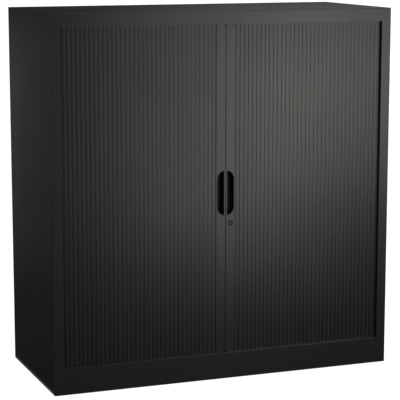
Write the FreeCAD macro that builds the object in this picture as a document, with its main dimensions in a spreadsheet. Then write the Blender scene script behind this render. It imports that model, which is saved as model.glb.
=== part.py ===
import FreeCAD, Part
import math
import os

import Sketcher

# Roll front tool cabinet: a folded sheet steel carcass with two side-opening roller curtains.
# Frame: X across the front, -Y towards the user, Z up. The origin is on the floor, under the middle.
# A door's own directions are u, from the centre gap outwards, and v, from the curtain's hinge line
# outwards. At the front u runs along X and v towards the user.

# Driving dimensions in millimetres. Each one becomes a named cell of the spreadsheet.
SIZES = {
    # Whole cabinet and its sheet
    "cabinet_width": 1000.0,
    "cabinet_depth": 430.0,
    "cabinet_height": 1030.0,
    "sheet": 1.0,
    "bend_radius": 1.5,
    # Front frame
    "jamb_width": 28.0,
    "jamb_return": 8.0,
    "fascia_height": 37.0,
    "fascia_wrap": 15.0,
    "plinth_height": 75.0,
    # Hidden flanges
    "rear_flange": 15.0,
    "floor_flange": 15.0,
    "pan_flange": 20.0,
    # Roller curtain
    "curtain_setback": 9.0,
    "slat_pitch": 12.5,
    "slat_crest": 4.1,
    "slat_back": 1.9,
    "slat_land": 3.6,
    "crest_start": 2.2,
    "crest_width": 8.1,
    "bead_radius": 1.05,
    "bead_clearance": 0.3,
    "neck_thickness": 0.8,
    "slat_end_clearance": 0.8,
    "curtain_spare": 36.0,
    # Curved tracks
    "track_wall": 1.2,
    "track_height": 8.0,
    "crest_clearance": 0.5,
    "back_clearance": 1.1,
    "corner_radius": 26.0,
    "rear_run": 45.0,
    # Inner liners and shelves
    "liner_setback": 25.0,
    "liner_lip": 10.0,
    "corner_box_width": 60.0,
    "corner_box_depth": 25.0,
    "slot_width": 12.0,
    "slot_height": 4.0,
    "slot_pitch": 50.0,
    "slot_inset": 40.0,
    "first_slot": 130.0,
    "shelf_setback": 32.0,
    "shelf_lip": 25.0,
    "shelf_clearance": 0.5,
    "clip_thickness": 2.0,
    "clip_reach": 18.0,
    "clip_brace": 14.0,
    "clip_hook": 8.0,
    "clip_play": 0.2,
    # Lead stiles
    "stile_width": 28.0,
    "stile_gap": 1.6,
    "stile_wall": 1.2,
    "stile_proud": 1.5,
    "stile_depth": 17.0,
    "stile_end_gap": 2.0,
    "shoe_height": 30.0,
    "shoe_inset": 4.0,
    "shoe_clearance": 0.5,
    # Handle cups
    "handle_height": 127.0,
    "handle_radius": 25.0,
    "handle_divider": 9.0,
    "handle_above_lock": 21.5,
    "cup_wall": 1.5,
    "cup_fit": 0.15,
    "cup_lip": 1.2,
    # Lock
    "lock_height": 443.0,
    "lock_offset": 15.0,
    "lock_head_radius": 8.0,
    "lock_head": 1.0,
    "lock_body_radius": 7.0,
    "lock_body": 10.5,
    "lock_fit": 0.15,
    "lock_nut_radius": 9.8,
    "lock_nut_height": 4.0,
    "plug_radius": 5.0,
    "plug_fit": 0.08,
    "key_slot_width": 1.6,
    "key_slot_height": 7.0,
    "key_slot_depth": 6.0,
    "hook_thickness": 2.5,
    "hook_width": 8.0,
    "hook_length": 24.0,
    "hook_barb": 4.0,
    "hook_boss_radius": 6.0,
    "hook_clearance": 0.6,
    "keeper_thickness": 1.5,
    "keeper_margin": 4.0,
    "screw_head_radius": 3.5,
    "screw_head": 2.0,
    # Levelling feet
    "foot_inset": 45.0,
    "foot_pad_radius": 15.0,
    "foot_pad_height": 8.0,
    "stem_radius": 4.0,
    "stem_length": 49.0,
    "stem_fit": 0.08,
    "bracket_thickness": 2.0,
    "bracket_height": 30.0,
    "bracket_half_width": 20.0,
    "bracket_flange": 12.0,
    "foot_nut_radius": 7.5,
    "foot_nut_height": 6.5,
    "access_radius": 11.0,
    "plug_cap_edge": 2.0,
    "plug_cap_height": 1.5,
    "plug_spigot": 4.0,
    "plug_play": 0.3,
}

# How many liner slots lie below the clips of each loose shelf.
SHELF_SLOT_COUNTS = {"shelf_lower": 5, "shelf_upper": 11}

# Socket corners in degrees round the bead, from one lip of its mouth to the other, and bead corners.
SOCKET_ANGLES = [22, 94.5, 167, 239.5, 312]
BEAD_ANGLES = [22.4, 120, 240, 337.6]

# Ends of a rib's flat top, from the socket's side: shares of the rib's width.
CREST_SHARES = [0.93, 0.07]

# Small round holes and bosses that repeat are drawn with few corners.
ROUND_CORNERS = 10
BODY_CORNERS = 8
HEX_CORNERS = 6

FULL_TURN = 360
LEFT = -1
RIGHT = 1
MINIMUM_CUT = 1e-6
DECIMALS = 6


class Size:
    """A length with its value and the expression that binds it to the spreadsheet."""

    def __init__(self, value, text):
        self.value = value
        self.text = text

    @staticmethod
    def of(other):
        return other if isinstance(other, Size) else Size(other, repr(other))

    def __add__(self, other):
        other = Size.of(other)
        return Size(self.value + other.value, f"({self.text} + {other.text})")

    def __radd__(self, other):
        return Size.of(other) + self

    def __sub__(self, other):
        other = Size.of(other)
        return Size(self.value - other.value, f"({self.text} - {other.text})")

    def __rsub__(self, other):
        return Size.of(other) - self

    def __mul__(self, other):
        other = Size.of(other)
        return Size(self.value * other.value, f"({self.text} * {other.text})")

    def __rmul__(self, other):
        return Size.of(other) * self

    def __truediv__(self, other):
        other = Size.of(other)
        return Size(self.value / other.value, f"({self.text} / {other.text})")

    def __neg__(self):
        return Size(-self.value, f"(0 - {self.text})")

    def root(self):
        return Size(math.sqrt(self.value), f"sqrt({self.text})")


class Lengths:
    """The driving dimensions, one attribute for each cell."""


def make_sheet(doc):
    """Fill the spreadsheet and give its cells back as sizes."""
    sheet = doc.addObject("Spreadsheet::Sheet", "Sizes")
    lengths = Lengths()
    for row, (name, value) in enumerate(SIZES.items(), start=1):
        sheet.set(f"A{row}", name)
        sheet.set(f"B{row}", str(value))
        sheet.setAlias(f"B{row}", name)
        setattr(lengths, name, Size(value, f"Sizes.{name}"))
    doc.recompute()
    return lengths


doc = FreeCAD.newDocument("RollFrontToolCabinet")
size = make_sheet(doc)

# Places that several pieces share
half_width = size.cabinet_width / 2
half_depth = size.cabinet_depth / 2
skin_inside = half_width - size.sheet
opening_half = half_width - size.jamb_width
back_inside = half_depth - 2 * size.sheet
opening_top = size.cabinet_height - size.fascia_height
roof_under = size.cabinet_height - size.sheet
base_pan_top = size.plinth_height - size.sheet - size.track_height
top_pan_under = opening_top + size.sheet + size.track_height

# The curtain's hinge line in plan: its front, side and rear runs and the centres of its corners
front_line = size.curtain_setback + size.slat_crest - half_depth
side_line = skin_inside - size.track_wall - size.crest_clearance - size.slat_crest
rear_line = back_inside - size.track_wall - size.crest_clearance - size.slat_crest
corner_x = side_line - size.corner_radius
front_corner_y = front_line + size.corner_radius
rear_corner_y = rear_line - size.corner_radius
rear_end_x = corner_x - size.rear_run

# The lead stile, measured from the hinge line
stile_front = size.slat_crest + size.stile_proud
stile_plate_back = stile_front - size.stile_wall
stile_front_y = front_line - stile_front
stile_bottom = size.plinth_height + size.stile_end_gap
stile_top = opening_top - size.stile_end_gap
stile_inner = size.stile_gap / 2
socket_radius = size.bead_radius + size.bead_clearance
handle_centre = size.lock_height + size.handle_above_lock + size.handle_height / 2

# Inside of the liners
box_side = opening_half - size.corner_box_width
box_front = back_inside - size.corner_box_depth

nodes = []


def new_body(name, keep=True):
    """A PartDesign body. A kept one is a sub-part of its own."""
    body = doc.addObject("PartDesign::Body", name)
    body.Label = name
    if keep:
        nodes.append(body)
    return body


def bind(target, path, value):
    """Bind a property to the sheet."""
    target.setExpression(path, Size.of(value).text)


def arc_centre(start, end, radius, sense):
    """Centre of the arc from start to end that turns left for a sense of 1 and right for -1."""
    middle = (start + end) / 2
    chord = end - start
    rise = math.sqrt(max(radius**2 - (chord.Length / 2) ** 2, 0))
    normal = FreeCAD.Vector(-chord.y, chord.x, 0).normalize()
    return middle + normal * rise * sense


def add_loop(sketch, loop):
    """Draw one closed loop. A point may carry the radius and sense of the arc that follows it."""
    first = sketch.GeometryCount
    count = len(loop)
    corners = [FreeCAD.Vector(point[0].value, point[1].value, 0) for point in loop]
    for index, point in enumerate(loop):
        start = corners[index]
        end = corners[(index + 1) % count]
        if len(point) == 2:
            sketch.addGeometry(Part.LineSegment(start, end), False)
            continue
        radius, sense = point[2], point[3]
        centre = arc_centre(start, end, radius.value, sense)
        low, high = (start, end) if sense > 0 else (end, start)
        circle = Part.Circle(centre, FreeCAD.Vector(0, 0, 1), radius.value)
        turn_from = math.atan2(low.y - centre.y, low.x - centre.x)
        turn_to = math.atan2(high.y - centre.y, high.x - centre.x)
        sketch.addGeometry(Part.ArcOfCircle(circle, turn_from, turn_to), False)
    for index, point in enumerate(loop):
        edge = first + index
        follower = first + (index + 1) % count
        start_end = 2 if len(point) > 2 and point[3] < 0 else 1
        own_end = 3 - start_end
        next_point = loop[(index + 1) % count]
        next_start = 2 if len(next_point) > 2 and next_point[3] < 0 else 1
        sketch.addConstraint(Sketcher.Constraint("Coincident", edge, own_end, follower, next_start))
        place_point(sketch, edge, start_end, point)
        if len(point) > 2:
            held = sketch.addConstraint(Sketcher.Constraint("Radius", edge, point[2].value))
            bind(sketch, f"Constraints[{held}]", point[2])


def place_point(sketch, edge, end, point):
    """Hold one end of an edge at its place from the sketch's origin."""
    for kind, axis, value in (("DistanceX", -2, point[0]), ("DistanceY", -1, point[1])):
        if value.value == 0:
            sketch.addConstraint(Sketcher.Constraint("PointOnObject", edge, end, axis))
            continue
        held = sketch.addConstraint(Sketcher.Constraint(kind, -1, 1, edge, end, value.value))
        bind(sketch, f"Constraints[{held}]", value)


def add_circle(sketch, circle):
    """Draw one circle, given as centre and radius."""
    across, along, radius = circle
    centre = FreeCAD.Vector(across.value, along.value, 0)
    shape = Part.Circle(centre, FreeCAD.Vector(0, 0, 1), radius.value)
    edge = sketch.addGeometry(shape, False)
    place_point(sketch, edge, 3, (across, along))
    held = sketch.addConstraint(Sketcher.Constraint("Radius", edge, radius.value))
    bind(sketch, f"Constraints[{held}]", radius)


def add_sketch(body, plane, offset, loops, circles):
    """A bound sketch on one of the body's own origin planes, moved along the plane's normal."""
    sketch = body.newObject("Sketcher::SketchObject", f"{body.Name}_sketch")
    planes = {feature.Role: feature for feature in body.Origin.OriginFeatures}
    sketch.AttachmentSupport = [(planes[f"{plane}_Plane"], "")]
    sketch.MapMode = "FlatFace"
    bind(sketch, "AttachmentOffset.Base.z", offset)
    for loop in loops:
        add_loop(sketch, [tuple(Size.of(value) for value in point[:3]) + point[3:] for point in loop])
    for circle in circles:
        add_circle(sketch, [Size.of(value) for value in circle])
    return sketch


def pad(body, plane, loops, start, length, circles=()):
    """Add material from start over length along X, Y or Z, whichever the plane leaves out."""
    offset = -(start + length) if plane == "XZ" else Size.of(start)
    feature = body.newObject("PartDesign::Pad", f"{body.Name}_pad")
    feature.Profile = add_sketch(body, plane, offset, loops, circles)
    bind(feature, "Length", length)
    doc.recompute()
    return feature


def pocket(body, plane, loops, start, length, circles=()):
    """Cut material away from start over length, and make sure that something was cut."""
    before = body.Shape.Volume
    offset = -Size.of(start) if plane == "XZ" else start + length
    feature = body.newObject("PartDesign::Pocket", f"{body.Name}_pocket")
    feature.Profile = add_sketch(body, plane, offset, loops, circles)
    bind(feature, "Length", length)
    doc.recompute()
    if before - body.Shape.Volume < MINIMUM_CUT:
        raise RuntimeError(f"{body.Label}: a pocket cuts nothing")
    return feature


def fillet(body, radius, wanted):
    """Round the edges whose middle passes the test."""
    base = body.Tip
    names = []
    for index, edge in enumerate(base.Shape.Edges, start=1):
        middle = edge.valueAt((edge.FirstParameter + edge.LastParameter) / 2)
        if wanted(edge, middle):
            names.append(f"Edge{index}")
    if not names:
        raise RuntimeError(f"{body.Label}: no edge to round")
    feature = body.newObject("PartDesign::Fillet", f"{body.Name}_fillet")
    feature.Base = (base, names)
    bind(feature, "Radius", radius)
    doc.recompute()
    return feature


def near(value, wanted):
    """True when a coordinate is the wanted one."""
    return abs(value - Size.of(wanted).value) < SIZES["sheet"] / 10


def is_upright(edge):
    """True for an edge along Z."""
    first, last = edge.Vertexes[0].Point, edge.Vertexes[-1].Point
    return near(first.x, last.x) and near(first.y, last.y) and edge.Length > SIZES["sheet"]


def rectangle(x_low, y_low, x_high, y_high):
    """A rectangle's corners."""
    return [(x_low, y_low), (x_high, y_low), (x_high, y_high), (x_low, y_high)]


def folded(path, thickness):
    """Outline of a folded sheet. The path is its outer face, and the sheet lies left of it."""
    steps = []
    for start, end in zip(path, path[1:]):
        rise_x = Size.of(end[0]).value - Size.of(start[0]).value
        rise_y = Size.of(end[1]).value - Size.of(start[1]).value
        if abs(rise_x) > abs(rise_y):
            steps.append((0, math.copysign(1, rise_x)))
        else:
            steps.append((-math.copysign(1, rise_y), 0))
    inner = []
    for index, point in enumerate(path):
        sides = steps[max(index - 1, 0) : index + 1]
        shift_x = sum(side[0] for side in sides)
        shift_y = sum(side[1] for side in sides)
        inner.append((point[0] + thickness * shift_x, point[1] + thickness * shift_y))
    return list(path) + inner[::-1]


def ring(outer, inner):
    """Two loops that leave a ring between them."""
    return [outer, inner]


def cosine(degrees):
    """A rounded share, so that the sheet's expressions stay short."""
    return round(math.cos(math.radians(degrees)), DECIMALS)


def sine(degrees):
    """The other rounded share of the same turn."""
    return round(math.sin(math.radians(degrees)), DECIMALS)


def polygon(radius, corners, turn=0):
    """Corners of a regular polygon round the origin."""
    angles = [turn + index * FULL_TURN / corners for index in range(corners)]
    return [(radius * cosine(angle), radius * sine(angle)) for angle in angles]


def round_polygon(radius, corners):
    """A polygon that just clears a circle."""
    half_step = FULL_TURN / 2 / corners
    return polygon(radius / cosine(half_step), corners, half_step)


def moved(points, across, along):
    """Points moved by a step in the sketch."""
    return [(point[0] + across, point[1] + along) for point in points]


def mirrored(name, source, normal=(1, 0, 0)):
    """The same piece for the other hand."""
    piece = doc.addObject("Part::Mirroring", name)
    piece.Label = name
    piece.Source = source
    piece.Normal = FreeCAD.Vector(*normal)
    piece.Base = FreeCAD.Vector(0, 0, 0)
    doc.recompute()
    nodes.append(piece)
    return piece


def group(name, source, placements):
    """Copies of one bound piece as the separate solids of one node."""
    copies = []
    for placement in placements:
        copy = source.Shape.copy()
        copy.Placement = placement.multiply(copy.Placement)
        copies.append(copy)
    piece = doc.addObject("Part::Feature", name)
    piece.Label = name
    piece.Shape = Part.makeCompound(copies)
    piece.Placement = FreeCAD.Placement()
    nodes.append(piece)
    return piece


def place(across, deep, high, turn=0):
    """A placement from sizes, turned about Z by degrees."""
    base = FreeCAD.Vector(*(Size.of(value).value for value in (across, deep, high)))
    return FreeCAD.Placement(base, FreeCAD.Rotation(FreeCAD.Vector(0, 0, 1), turn))


# Carcass


def make_side_panel():
    """Left side: one sheet folded into skin, front jamb, jamb return and rear flange."""
    body = new_body("left_side_panel")
    path = [
        (-half_width + size.rear_flange, half_depth),
        (-half_width, half_depth),
        (-half_width, -half_depth),
        (-opening_half, -half_depth),
        (-opening_half, -half_depth + size.jamb_return),
    ]
    pad(body, "XY", [folded(path, size.sheet)], 0, roof_under)
    corner = rectangle(-half_width, -half_depth, -opening_half, -half_depth + size.fascia_wrap)
    pocket(body, "XY", [corner], opening_top, size.fascia_height - size.sheet)
    lower_return = rectangle(
        -opening_half - size.sheet,
        -half_depth + size.sheet,
        -opening_half,
        -half_depth + size.jamb_return,
    )
    pocket(body, "XY", [lower_return], 0, size.plinth_height)

    def at_outer_corner(edge, middle):
        return is_upright(edge) and near(middle.x, -half_width) and near(abs(middle.y), half_depth)

    fillet(body, size.bend_radius, at_outer_corner)
    floor_half = half_depth - size.sheet - size.floor_flange
    floor_plate = rectangle(-skin_inside, -floor_half, -skin_inside + size.floor_flange, floor_half)
    pad(body, "XY", [floor_plate], 0, size.sheet)
    mirrored("right_side_panel", body)


def make_top_panel():
    """Top sheet with the full-width fascia, its corner wraps, its return and a rear flange."""
    body = new_body("top_panel")
    block = rectangle(-half_width, -half_depth, half_width, half_depth)
    pad(body, "XY", [block], opening_top, size.fascia_height)

    def at_front_bend(edge, middle):
        upright = is_upright(edge) and near(middle.y, -half_depth)
        along_top = near(middle.y, -half_depth) and near(middle.z, size.cabinet_height)
        return upright or along_top

    rounded = fillet(body, size.bend_radius, at_front_bend)
    open_faces = []
    for index, face in enumerate(rounded.Shape.Faces, start=1):
        centre = face.CenterOfMass
        if near(centre.z, opening_top) or near(centre.y, half_depth):
            open_faces.append(f"Face{index}")
    shell = body.newObject("PartDesign::Thickness", "top_panel_shell")
    shell.Base = (rounded, open_faces)
    bind(shell, "Value", size.sheet)
    shell.Reversed = True
    doc.recompute()
    wrap_end = -half_depth + size.fascia_wrap
    skirts = [
        rectangle(-half_width, wrap_end, -skin_inside, half_depth),
        rectangle(skin_inside, wrap_end, half_width, half_depth),
    ]
    pocket(body, "XY", skirts, opening_top, size.fascia_height - size.sheet)
    return_back = front_line - size.slat_crest - size.crest_clearance
    fascia_return = rectangle(-skin_inside, -half_depth + size.sheet, skin_inside, return_back)
    pad(body, "XY", [fascia_return], opening_top, size.sheet)
    flange_half = half_width - size.rear_flange
    flange = rectangle(-flange_half, half_depth - size.sheet, flange_half, half_depth)
    pad(body, "XY", [flange], roof_under - size.rear_flange, size.rear_flange)


def make_plinth():
    """Front plinth between the jambs, with a ledge in front of the curtain and a floor flange."""
    body = new_body("plinth_front")
    ledge_back = front_line - size.slat_crest - size.crest_clearance
    path = [
        (ledge_back, size.plinth_height),
        (-half_depth, size.plinth_height),
        (-half_depth, Size.of(0)),
        (-half_depth + size.floor_flange, Size.of(0)),
    ]
    pad(body, "YZ", [folded(path, size.sheet)], -opening_half, 2 * opening_half)

    def at_ledge_bend(edge, middle):
        return near(middle.y, -half_depth) and near(middle.z, size.plinth_height)

    fillet(body, size.bend_radius, at_ledge_bend)


def make_back_panel():
    """Flat back sheet, held inside the rear flanges."""
    body = new_body("back_panel")
    outline = rectangle(-skin_inside, 0, skin_inside, roof_under)
    pad(body, "XZ", [outline], back_inside, size.sheet)


def access_holes():
    """Screwdriver holes over the feet."""
    outline = round_polygon(size.access_radius, ROUND_CORNERS)
    return [moved(outline, across, deep) for across, deep, hand in foot_places().values()]


def foot_places():
    """Foot axes in plan as sizes, with the hand of each."""
    across = half_width - size.foot_inset
    deep = half_depth - size.foot_inset
    return {
        "front_left": (-across, -deep, LEFT),
        "front_right": (across, -deep, RIGHT),
        "rear_left": (-across, deep, LEFT),
        "rear_right": (across, deep, RIGHT),
    }


def make_pan(name, plate_bottom, flange_start, flange_length, holes):
    """Inner pan across the whole carcass. The curtain tracks lie on it."""
    body = new_body(name)
    front = -half_depth + size.sheet
    outer = rectangle(-skin_inside, front, skin_inside, back_inside)
    inner = rectangle(
        -skin_inside + size.sheet, front + size.sheet, skin_inside - size.sheet, back_inside - size.sheet
    )
    pad(body, "XY", [outer], plate_bottom, size.sheet)
    pad(body, "XY", ring(outer, inner), flange_start, flange_length)

    def at_front_corner(edge, middle):
        return is_upright(edge) and near(abs(middle.x), skin_inside) and near(middle.y, front)

    fillet(body, size.bend_radius - size.sheet, at_front_corner)
    if holes:
        pocket(body, "XY", holes, plate_bottom, size.sheet)


def make_liner():
    """Left inner wall. It hides the side run of the curtain and boxes in its rear run."""
    body = new_body("left_inner_liner")
    front = -half_depth + size.liner_setback
    path = [
        (-opening_half - size.liner_lip, front),
        (-opening_half, front),
        (-opening_half, box_front),
        (-box_side, box_front),
        (-box_side, back_inside),
    ]
    height = top_pan_under - base_pan_top
    pad(body, "XY", [folded(path, size.sheet)], base_pan_top, height)
    columns = []
    for centre in slot_columns():
        low, high = centre - size.slot_width / 2, centre + size.slot_width / 2
        columns.append(rectangle(low, size.first_slot, high, size.first_slot + size.slot_height))
    slots = pocket(body, "YZ", columns, -opening_half - size.sheet, size.sheet)
    count = int((top_pan_under - size.first_slot).value // SIZES["slot_pitch"])
    pattern = body.newObject("PartDesign::LinearPattern", "liner_slots")
    pattern.Originals = [slots]
    axes = {feature.Role: feature for feature in body.Origin.OriginFeatures}
    pattern.Direction = (axes["Z_Axis"], [""])
    bind(pattern, "Length", size.slot_pitch * (count - 1))
    pattern.Occurrences = count
    body.Tip = pattern
    doc.recompute()
    mirrored("right_inner_liner", body)


def slot_columns():
    """Depths of the two slot columns in each liner."""
    front = -half_depth + size.liner_setback + size.slot_inset
    return [front, box_front - size.slot_inset]


def track_line(offset, reverse=False):
    """Left track path at an offset outside the hinge line, from the centre to its rear end."""
    radius = size.corner_radius + offset
    points = [
        (Size.of(0), front_line - offset),
        (-corner_x, front_line - offset, radius, -1),
        (-side_line - offset, front_corner_y),
        (-side_line - offset, rear_corner_y, radius, -1),
        (-corner_x, rear_line + offset),
        (-rear_end_x, rear_line + offset),
    ]
    if not reverse:
        return points
    back = [
        (-rear_end_x, rear_line + offset),
        (-corner_x, rear_line + offset, radius, 1),
        (-side_line - offset, rear_corner_y),
        (-side_line - offset, front_corner_y, radius, 1),
        (-corner_x, front_line - offset),
        (Size.of(0), front_line - offset),
    ]
    return back


def make_tracks():
    """Grooved tracks that lead the curtain ends round the front and rear corners."""
    groove_out = size.slat_crest + size.crest_clearance
    groove_in = -(size.slat_back + size.back_clearance)
    whole = track_line(groove_out + size.track_wall) + track_line(groove_in - size.track_wall, True)
    groove = track_line(groove_out) + track_line(groove_in, True)
    groove_depth = size.track_height - size.track_wall
    for name, bottom, groove_bottom in (
        ("bottom_track", base_pan_top, base_pan_top + size.track_wall),
        ("top_track", top_pan_under - size.track_height, top_pan_under - size.track_height),
    ):
        body = new_body(f"left_{name}")
        pad(body, "XY", [whole], bottom, size.track_height)
        pocket(body, "XY", [groove], groove_bottom, groove_depth)
        mirrored(f"right_{name}", body)


def shelf_outline(front, inset):
    """A shelf in plan, cut back at the rear corners round the liners."""
    side = opening_half - size.shelf_clearance - inset
    notch = box_side - size.shelf_clearance - inset
    notch_front = box_front - size.shelf_clearance - inset
    rear = back_inside - size.shelf_clearance - inset
    return [
        (-side, front + inset),
        (side, front + inset),
        (side, notch_front),
        (notch, notch_front),
        (notch, rear),
        (-notch, rear),
        (-notch, notch_front),
        (-side, notch_front),
    ]


def make_shelf(name, front, top, lip, holes=()):
    """A shelf tray with its edge turned down all round."""
    body = new_body(name)
    outer = shelf_outline(front, 0)
    pad(body, "XY", [outer], top - size.sheet, size.sheet)
    lips = ring(outer, shelf_outline(front, size.sheet))
    pad(body, "XY", lips, top - lip, lip - size.sheet)
    if holes:
        pocket(body, "XY", holes, top - size.sheet, size.sheet)


def clip_level(slot):
    """Height of the seat of a clip in one slot."""
    return size.first_slot + size.slot_pitch * slot + (size.slot_height + size.clip_thickness) / 2


def make_shelves():
    """Fixed bottom shelf and two loose ones on clips."""
    track_inside = front_line + size.slat_back + size.back_clearance + size.track_wall
    lip = size.plinth_height - base_pan_top
    make_shelf("bottom_shelf", track_inside + size.shelf_clearance, size.plinth_height, lip, access_holes())
    for name, slot in SHELF_SLOT_COUNTS.items():
        front = -half_depth + size.shelf_setback
        make_shelf(name, front, clip_level(slot) + size.shelf_lip, size.shelf_lip)


def make_shelf_clips():
    """Hooked clips that stand in the liner slots and carry the shelves."""
    body = new_body("shelf_clip", keep=False)
    behind = size.sheet + size.clip_play
    outline = [
        (size.clip_reach, Size.of(0)),
        (-behind - size.clip_thickness, Size.of(0)),
        (-behind - size.clip_thickness, -size.clip_hook),
        (-behind, -size.clip_hook),
        (-behind, -size.clip_thickness),
        (Size.of(0), -size.clip_thickness),
        (Size.of(0), -size.clip_brace),
        (size.clip_thickness, -size.clip_brace),
        (size.clip_thickness, -size.clip_thickness),
        (size.clip_reach, -size.clip_thickness),
    ]
    width = size.slot_width - 2 * size.shelf_clearance
    pad(body, "XZ", [outline], -width / 2, width)
    placements = []
    for slot in SHELF_SLOT_COUNTS.values():
        for deep in slot_columns():
            placements.append(place(-opening_half, deep, clip_level(slot)))
            placements.append(place(opening_half, deep, clip_level(slot), FULL_TURN / 2))
    group("shelf_clips", body, placements)


# Roller curtains


def ring_corner(radius, degrees, across=0):
    """A point round a bead's centre, in door directions."""
    return (across + radius * cosine(degrees), radius * sine(degrees))


def slat_outline():
    """One slat's section: bead and neck, raised rib, and the socket for the next bead."""
    bead = [ring_corner(size.bead_radius, degrees) for degrees in BEAD_ANGLES]
    outer = [ring_corner(size.slat_back, degrees, size.slat_pitch) for degrees in SOCKET_ANGLES]
    inner = [ring_corner(socket_radius, degrees, size.slat_pitch) for degrees in SOCKET_ANGLES]
    crest_end = size.crest_start + size.crest_width
    neck = size.neck_thickness / 2
    outline = list(bead)
    outline.append((size.crest_start, -neck))
    outline.append((size.crest_start, -size.slat_back))
    outline.append((size.slat_pitch, -size.slat_back))
    outline.append(outer[-1])
    outline.extend(inner[::-1])
    outline.append(outer[0])
    outline.append((outer[0][0], size.slat_land))
    outline.append((crest_end, size.slat_land))
    for across in CREST_SHARES:
        outline.append((size.crest_start + size.crest_width * across, size.slat_crest))
    outline.append((size.crest_start, size.slat_land))
    outline.append((size.crest_start, neck))
    return outline


def slat_places(count):
    """Placements of the left slats: along the straight run, then round the front corner."""
    pitch = SIZES["slat_pitch"]
    radius = SIZES["corner_radius"]
    start = SIZES["stile_width"]
    centre = FreeCAD.Vector(-corner_x.value, front_corner_y.value, 0)
    hinge = FreeCAD.Vector(-start, front_line.value, 0)
    bottom = slat_bottom().value
    turn = 0.0
    placements = []
    for index in range(count):
        step = FreeCAD.Vector(-pitch, 0, 0)
        following = hinge + step
        if following.x < centre.x:
            short = max(hinge.x - centre.x, 0)
            reach = math.hypot(radius, short)
            swing = math.acos((radius**2 + reach**2 - pitch**2) / (2 * radius * reach))
            turn += swing - math.atan2(short, radius)
            following = centre + FreeCAD.Vector(-math.sin(turn), -math.cos(turn), 0) * radius
        along = following - hinge
        heading = math.degrees(math.atan2(along.y, along.x))
        base = FreeCAD.Vector(hinge.x, hinge.y, bottom)
        placements.append(FreeCAD.Placement(base, FreeCAD.Rotation(FreeCAD.Vector(0, 0, 1), heading)))
        hinge = following
    return placements


def slat_bottom():
    """Height of the slats' lower ends."""
    return base_pan_top + size.track_wall + size.slat_end_clearance


def make_curtain():
    """Left curtain: interlocked slats from the stile to behind the jamb."""
    slat = new_body("slat", keep=False)
    top = top_pan_under - size.track_wall - size.slat_end_clearance
    pad(slat, "XY", [slat_outline()], 0, top - slat_bottom())
    run = (corner_x - size.stile_width + size.curtain_spare).value
    curtain = group("left_slats", slat, slat_places(round(run / SIZES["slat_pitch"])))
    mirrored("right_slats", curtain)


# Lead stiles


def door_loop(hand, points):
    """Points in door directions as a loop in plan."""
    return [(hand * point[0], front_line - point[1]) for point in points]


def hook_slot(hand):
    """Slot in a stile's web that the lock hook swings through, seen along X."""
    barb_reach = (size.hook_length * size.hook_length + 4 * size.hook_barb * size.hook_barb).root()
    low = size.lock_height - barb_reach
    high = size.lock_height + size.hook_width / 2 + size.hook_clearance
    front = hook_front_y() - size.hook_clearance
    back = hook_front_y() + size.hook_thickness + size.hook_clearance
    return rectangle(front, low, back, high)


def hook_front_y():
    """Depth of the hook's front face, behind the lock body."""
    return stile_front_y + size.lock_body + size.hook_clearance


def make_stile(name, hand):
    """Lead stile: a channel with the socket for the first bead, handle cut-out and hook slot."""
    body = new_body(name)
    edge = size.stile_width
    height = stile_top - stile_bottom
    channel = [
        (stile_inner, stile_front),
        (edge, stile_front),
        (edge, stile_plate_back),
        (stile_inner + size.stile_wall, stile_plate_back),
        (stile_inner + size.stile_wall, stile_front - size.stile_depth),
        (stile_inner, stile_front - size.stile_depth),
    ]
    pad(body, "XY", [door_loop(hand, channel)], stile_bottom, height)
    outer = [ring_corner(size.slat_back, degrees, edge) for degrees in SOCKET_ANGLES]
    inner = [ring_corner(socket_radius, degrees, edge) for degrees in SOCKET_ANGLES]
    pad(body, "XY", [door_loop(hand, outer + inner[::-1])], stile_bottom, height)
    rib_bottom = (size.slat_back + socket_radius) / 2
    rib = [
        (edge - size.stile_wall / 2, stile_plate_back),
        (edge, stile_plate_back),
        (edge, rib_bottom),
        (edge - size.stile_wall / 2, rib_bottom),
    ]
    pad(body, "XY", [door_loop(hand, rib)], stile_bottom, height)
    pocket(body, "XZ", [handle_outline(hand, Size.of(0))], stile_front_y, size.stile_wall)
    web_start = stile_inner if hand == RIGHT else -stile_inner - size.stile_wall
    pocket(body, "YZ", [hook_slot(hand)], web_start, size.stile_wall)
    if hand == RIGHT:
        hole = (size.lock_offset, size.lock_height, size.lock_body_radius + size.lock_fit)
        pocket(body, "XZ", [], stile_front_y, size.stile_wall, [hole])


def handle_outline(hand, inset):
    """Half of the long round handle recess, cut off beside the centre gap."""
    radius = size.handle_radius - inset
    flat = size.handle_divider / 2 + inset
    straight = size.handle_height / 2 - size.handle_radius
    rise = (radius * radius - flat * flat).root()
    top, bottom = handle_centre + straight, handle_centre - straight
    return [
        (hand * flat, bottom - rise),
        (hand * flat, top + rise, radius, -hand),
        (hand * radius, top),
        (hand * radius, bottom, radius, -hand),
    ]


def make_handle_cup():
    """Left finger cup: a moulded tray behind the handle cut-out."""
    body = new_body("left_handle_cup")
    pad(body, "XZ", [handle_outline(LEFT, size.cup_fit)], stile_front_y, size.stile_depth)
    rim = rectangle(
        -size.handle_radius - size.cup_lip,
        handle_centre - size.handle_height / 2 - size.cup_lip,
        size.cup_lip - size.handle_divider / 2,
        handle_centre + size.handle_height / 2 + size.cup_lip,
    )
    pad(body, "XZ", [rim], stile_front_y + size.stile_wall, size.cup_lip)
    hollow = handle_outline(LEFT, size.cup_fit + size.cup_wall)
    pocket(body, "XZ", [hollow], stile_front_y, size.stile_depth - size.cup_wall)
    mirrored("right_handle_cup", body)


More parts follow.
